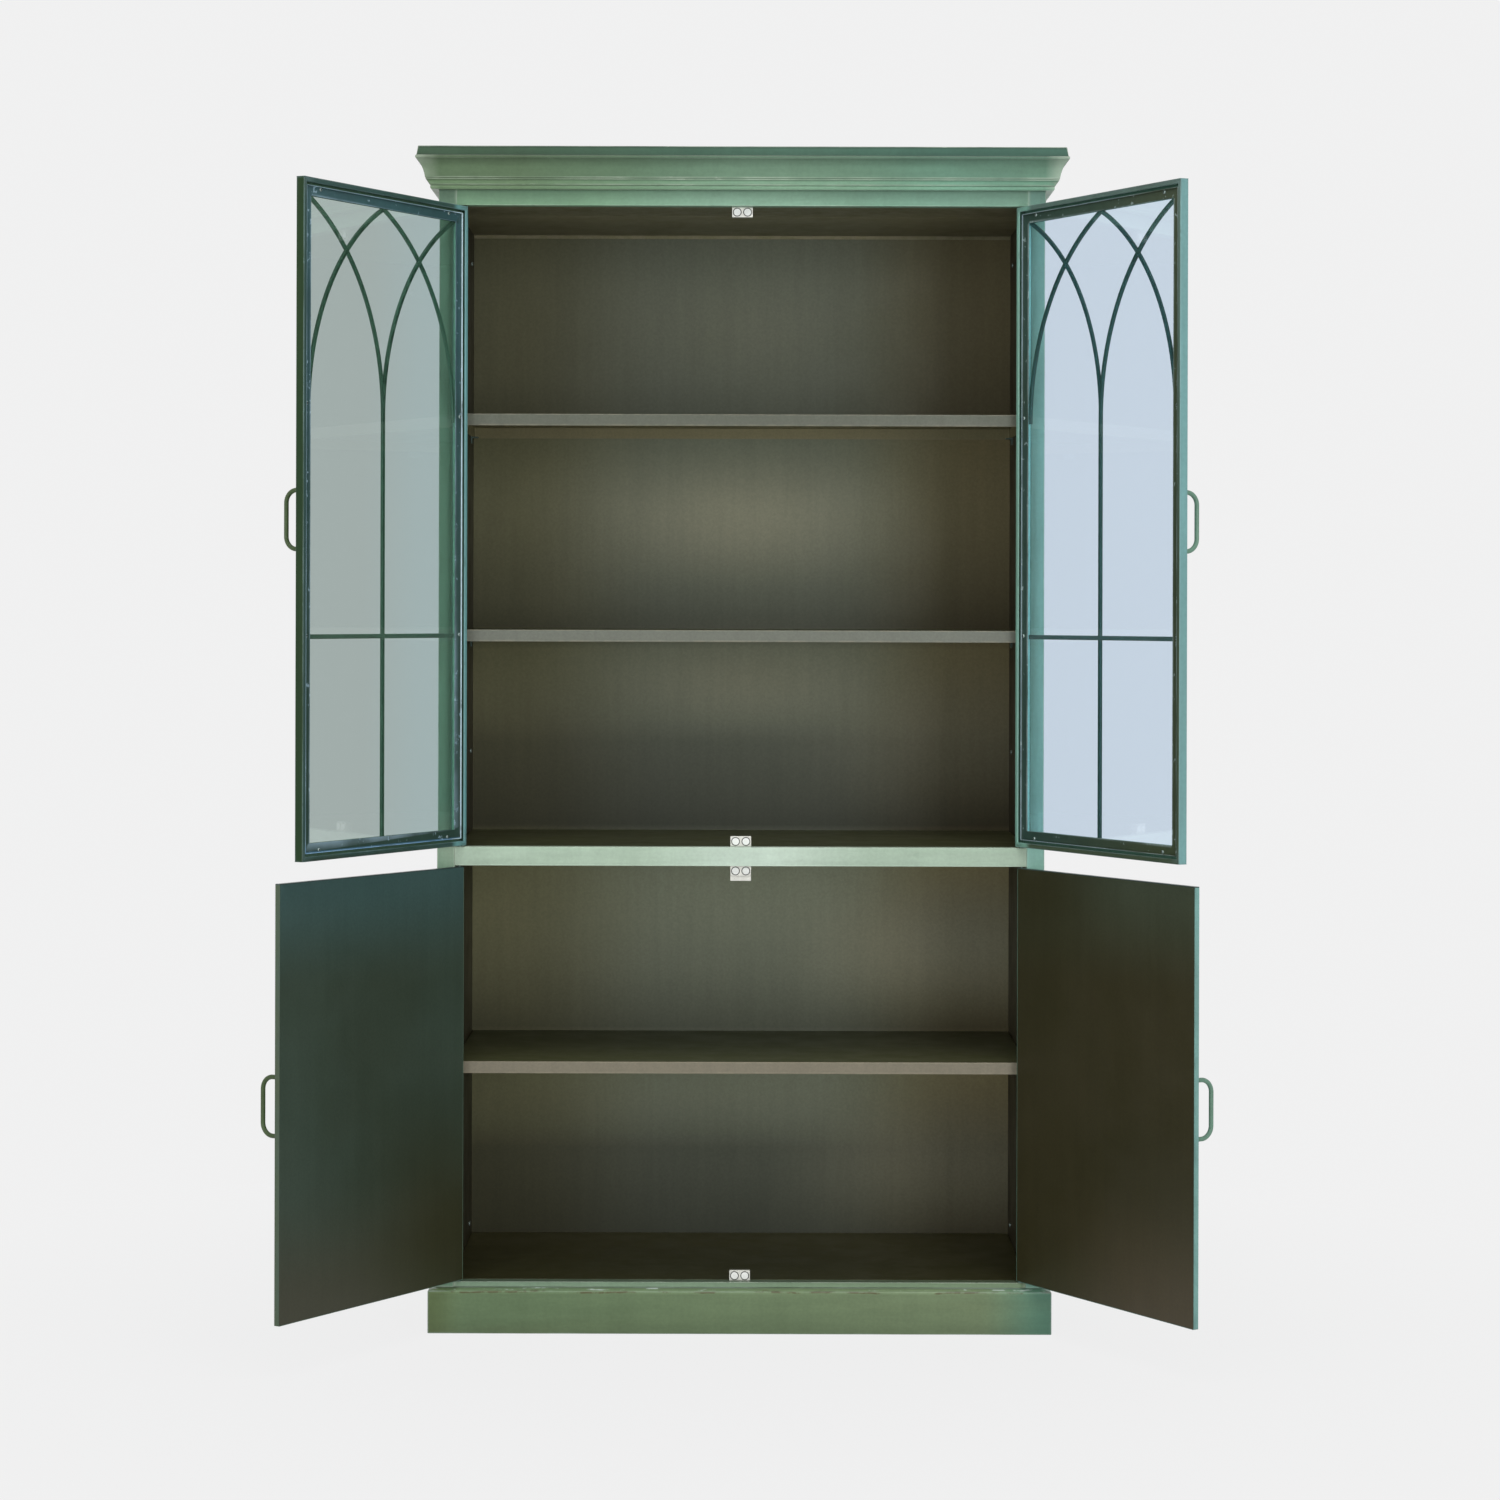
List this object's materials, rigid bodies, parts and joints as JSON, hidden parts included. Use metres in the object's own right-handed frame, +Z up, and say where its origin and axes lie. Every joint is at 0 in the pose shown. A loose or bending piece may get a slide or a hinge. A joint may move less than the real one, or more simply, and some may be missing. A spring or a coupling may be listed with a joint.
{
  "type": "display cupboard",
  "caption": "Tall steel cupboard: stepped cornice, glazed doors with interlacing arches over shelved bays, plain doors below, bevelled plinth.",
  "frame": {"origin": "on the floor, mid-width, in the front plane of the face frame", "axes": "+X to the viewer's right, +Y to the back, +Z up"},
  "size_m": [1.5117, 0.9027, 2],
  "materials": {
    "green_paint": "worn satin green enamel with brown flecks",
    "dark_paint": "dark bronze satin enamel",
    "handle_paint": "worn satin green enamel on round wire",
    "glass": "clear window glass",
    "gasket": "black glazing rubber",
    "magnet": "white faced magnet discs",
    "zinc_steel": "bright zinc plating",
    "catch_steel": "thin paint over pressed steel"
  },
  "bodies": {
    "carcass": {"back_panel": "dark_paint", "bottom_rail": "green_paint", "catch_deck": "catch_steel", "catch_floor": "catch_steel", "catch_magnets": "magnet", "catch_rail": "catch_steel", "catch_top": "catch_steel", "ceiling_panel": "dark_paint", "centre_deck": "dark_paint", "cornice_front": "green_paint", "cornice_left": "green_paint", "cornice_right": "green_paint", "floor_panel": "dark_paint", "frieze_rail": "green_paint", "liner_screws": "zinc_steel", "lower_ceiling": "dark_paint", "mid_rail": "green_paint", "pivot_pins": "zinc_steel", "pivot_washers": "zinc_steel", "plinth_back": "green_paint", "plinth_front": "green_paint", "plinth_left": "green_paint", "plinth_right": "green_paint", "shelf_brackets": "zinc_steel", "shelf_lower": "dark_paint", "shelf_middle": "dark_paint", "shelf_upper": "dark_paint", "side_liner_left": "dark_paint", "side_liner_right": "dark_paint", "side_panel_left": "green_paint", "side_panel_right": "green_paint", "stile_left": "green_paint", "stile_right": "green_paint", "top_panel": "green_paint"},
    "upper_door_left": {"bead_screws_left": "zinc_steel", "door_bottom_rail_left": "green_paint", "door_glass_left": "glass", "door_hinge_stile_left": "green_paint", "door_meeting_stile_left": "green_paint", "door_top_rail_left": "green_paint", "door_tracery_left": "green_paint", "glazing_bead_left": "green_paint", "glazing_gasket_left": "gasket", "upper_handle_left": "handle_paint"},
    "upper_door_right": {"bead_screws_right": "zinc_steel", "door_bottom_rail_right": "green_paint", "door_glass_right": "glass", "door_hinge_stile_right": "green_paint", "door_meeting_stile_right": "green_paint", "door_top_rail_right": "green_paint", "door_tracery_right": "green_paint", "glazing_bead_right": "green_paint", "glazing_gasket_right": "gasket", "upper_handle_right": "handle_paint"},
    "lower_door_left": {"lower_door_liner_left": "dark_paint", "lower_door_pan_left": "green_paint", "lower_handle_left": "handle_paint"},
    "lower_door_right": {"lower_door_liner_right": "dark_paint", "lower_door_pan_right": "green_paint", "lower_handle_right": "handle_paint"}
  },
  "joints": [
    {"name": "upper_left_hinge", "type": "hinge", "parent": "carcass", "child": "upper_door_left", "pos_m": [-0.475, 0.004, 0], "axis": [0, 0, 1], "range_deg": [-6.8, 118.2]},
    {"name": "upper_right_hinge", "type": "hinge", "parent": "carcass", "child": "upper_door_right", "pos_m": [0.475, 0.004, 0], "axis": [0, 0, 1], "range_deg": [-118.2, 6.8]},
    {"name": "lower_left_hinge", "type": "hinge", "parent": "carcass", "child": "lower_door_left", "pos_m": [-0.475, 0.004, 0], "axis": [0, 0, 1], "range_deg": [-2.1, 122.9]},
    {"name": "lower_right_hinge", "type": "hinge", "parent": "carcass", "child": "lower_door_right", "pos_m": [0.475, 0.004, 0], "axis": [0, 0, 1], "range_deg": [-121.3, 3.7]}
  ]
}
